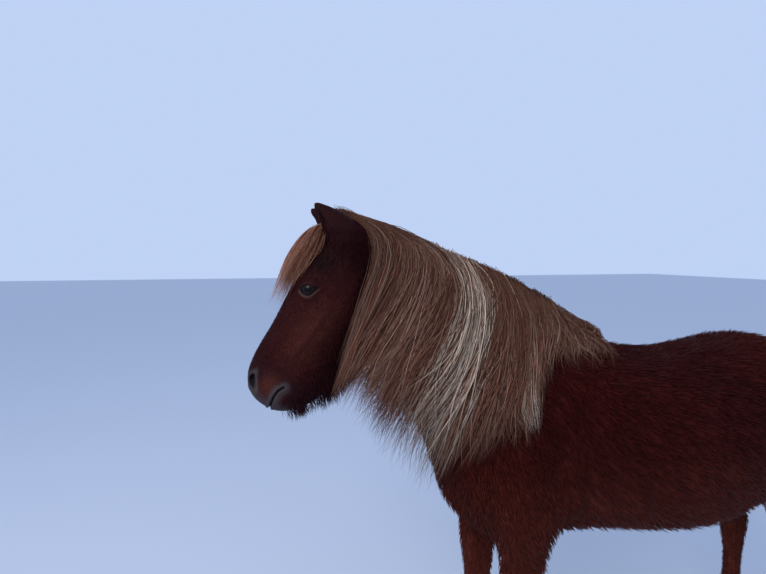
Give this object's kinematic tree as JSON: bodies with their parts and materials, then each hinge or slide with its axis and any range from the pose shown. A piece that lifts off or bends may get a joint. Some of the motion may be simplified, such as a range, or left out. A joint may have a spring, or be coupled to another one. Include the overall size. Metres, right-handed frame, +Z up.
{
  "type": "icelandic horse",
  "caption": "Life-size Icelandic horse in winter coat, dark chestnut with a long flaxen mane, forelock and tail, standing square and looking ahead.",
  "frame": {"origin": "on the ground in the middle of the animal's length and width", "axes": "+Z up, the horse looks along -Y, its left side is at +X"},
  "size_m": [0.571, 2.0942, 1.738],
  "materials": {
    "coat": "short dense dark chestnut winter fur with a soft sheen",
    "long_hair": "long flaxen-brown hair with a cream streak",
    "hoof": "dark horn with fine growth rings",
    "eye": "wet dark brown eye with a wide pupil"
  },
  "bodies": {
    "root": {"head": "coat", "neck": "coat", "trunk": "coat", "fore_leg_left": "coat", "fore_leg_right": "coat", "hind_leg_left": "coat", "hind_leg_right": "coat", "ear_left": "coat", "ear_right": "coat", "eye_left": "eye", "eye_right": "eye", "fore_hoof_left": "hoof", "fore_hoof_right": "hoof", "hind_hoof_left": "hoof", "hind_hoof_right": "hoof", "mane": "long_hair", "forelock": "long_hair", "tail": "long_hair"}
  },
  "joints": []
}
